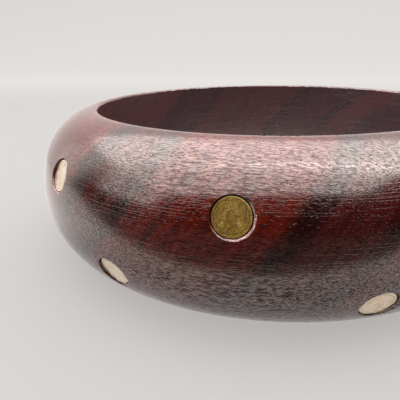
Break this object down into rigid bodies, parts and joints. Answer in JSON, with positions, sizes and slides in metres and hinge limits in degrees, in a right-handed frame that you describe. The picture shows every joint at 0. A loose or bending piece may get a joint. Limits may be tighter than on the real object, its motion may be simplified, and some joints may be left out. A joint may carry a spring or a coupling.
{
  "type": "bangle bracelet",
  "caption": "Closed turned hardwood bangle with a rounded crown and a straight bore, set with recessed flat brass discs in a zigzag; worn on the wrist.",
  "frame": {"origin": "centre of the bore on the plane of the lower rim", "axes": "+Z along the axis of the ring, up from the lower rim; the front disc of the upper row faces -Y"},
  "size_m": [0.0854, 0.0854, 0.025],
  "materials": {
    "wood": "dark red-brown hardwood, satin oiled, with open pores and near-black streaks",
    "brass": "satin brass, slightly tarnished, with fine scratches",
    "adhesive": "cured amber adhesive"
  },
  "bodies": {
    "root": {"wooden_ring": "wood", "brass_disc_01": "brass", "brass_disc_02": "brass", "brass_disc_03": "brass", "brass_disc_04": "brass", "brass_disc_05": "brass", "brass_disc_06": "brass", "brass_disc_07": "brass", "brass_disc_08": "brass", "brass_disc_09": "brass", "brass_disc_10": "brass", "brass_disc_11": "brass", "brass_disc_12": "brass", "brass_disc_13": "brass", "brass_disc_14": "brass", "brass_disc_15": "brass", "brass_disc_16": "brass", "glue_bed_01": "adhesive", "glue_bed_02": "adhesive", "glue_bed_03": "adhesive", "glue_bed_04": "adhesive", "glue_bed_05": "adhesive", "glue_bed_06": "adhesive", "glue_bed_07": "adhesive", "glue_bed_08": "adhesive", "glue_bed_09": "adhesive", "glue_bed_10": "adhesive", "glue_bed_11": "adhesive", "glue_bed_12": "adhesive", "glue_bed_13": "adhesive", "glue_bed_14": "adhesive", "glue_bed_15": "adhesive", "glue_bed_16": "adhesive"}
  },
  "joints": []
}
